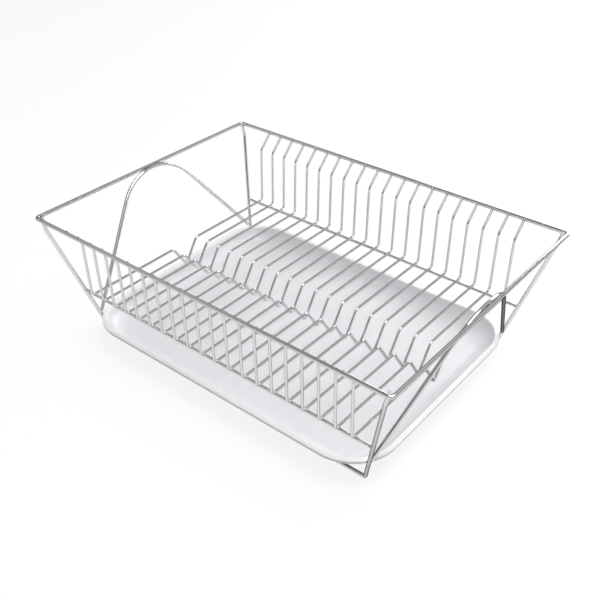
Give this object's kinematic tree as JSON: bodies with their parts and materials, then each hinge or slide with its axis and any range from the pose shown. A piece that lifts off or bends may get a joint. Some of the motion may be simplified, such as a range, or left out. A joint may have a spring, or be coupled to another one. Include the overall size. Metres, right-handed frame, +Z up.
{
  "type": "dish drying rack",
  "caption": "Welded wire dish drying rack with a rectangular rim, leaning legs, end arches, bent cross ribs with a plate groove, and a shallow drip tray under it.",
  "frame": {"origin": "on the table under the middle of the rack", "axes": "+X along the rack's long side, +Y from the front long side to the rear long side, +Z up"},
  "size_m": [0.4844, 0.347, 0.166],
  "materials": {
    "frame_wire": "bright plated steel wire, polished",
    "rib_wire": "bright plated thin steel wire, polished",
    "tray": "white moulded plastic, semi-gloss"
  },
  "bodies": {
    "rack": {"top_rim": "frame_wire", "front_leg_frame": "frame_wire", "rear_leg_frame": "frame_wire", "left_arch": "frame_wire", "right_arch": "frame_wire", "front_lower_rail": "frame_wire", "rear_lower_rail": "frame_wire", "rib_01": "rib_wire", "rib_02": "rib_wire", "rib_03": "rib_wire", "rib_04": "rib_wire", "rib_05": "rib_wire", "rib_06": "rib_wire", "rib_07": "rib_wire", "rib_08": "rib_wire", "rib_09": "rib_wire", "rib_10": "rib_wire", "rib_11": "rib_wire", "rib_12": "rib_wire", "rib_13": "rib_wire", "rib_14": "rib_wire", "rib_15": "rib_wire", "rib_16": "rib_wire", "rib_17": "rib_wire", "rib_18": "rib_wire", "rib_19": "rib_wire", "rib_20": "rib_wire"},
    "tray": {"drip_tray": "tray"}
  },
  "joints": [
    {"name": "tray_turn", "type": "hinge", "parent": "rack", "child": "tray", "pos_m": [0, 0, 0.0127], "axis": [0, 0, 1], "range_deg": [-90, 90]}
  ]
}
